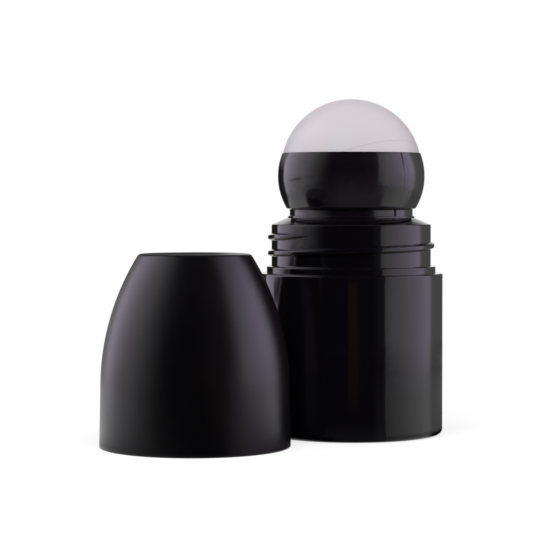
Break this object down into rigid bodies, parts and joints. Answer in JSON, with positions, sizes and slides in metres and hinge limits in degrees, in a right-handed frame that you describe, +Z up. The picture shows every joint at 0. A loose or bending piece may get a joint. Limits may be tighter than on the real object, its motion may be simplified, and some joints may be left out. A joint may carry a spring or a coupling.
{
  "type": "roll-on bottle",
  "caption": "Small round roll-on applicator bottle with a threaded neck, a ball held in a snap-in housing, and a tapered screw cap taken off and standing beside it.",
  "frame": {"origin": "centre of the bottle's foot, on the table", "axes": "+Z up along the bottle's axis, -Y towards the viewer, with the cap standing on the -X -Y side"},
  "size_m": [0.0847, 0.0745, 0.0846],
  "materials": {
    "bottle_gloss_black": "blow-moulded glossy black plastic",
    "housing_gloss_black": "injection-moulded glossy black plastic",
    "ball_white": "ground and tumbled satin white plastic",
    "cap_matt_black": "moulded matt black plastic with a fine eroded texture"
  },
  "bodies": {
    "bottle_body": {"bottle": "bottle_gloss_black", "ball_housing": "housing_gloss_black"},
    "ball": {"ball_upper_half": "ball_white", "ball_lower_half": "ball_white"},
    "screw_cap": {"cap": "cap_matt_black"}
  },
  "joints": [
    {"name": "ball_roll", "type": "hinge", "parent": "bottle_body", "child": "ball", "pos_m": [0, 0, 0.06684], "axis": [1, 0, 0], "continuous": true},
    {"name": "cap_lift", "type": "slide", "parent": "bottle_body", "child": "screw_cap", "axis": [0, 0, 1], "range_m": [0, 0.1]}
  ]
}
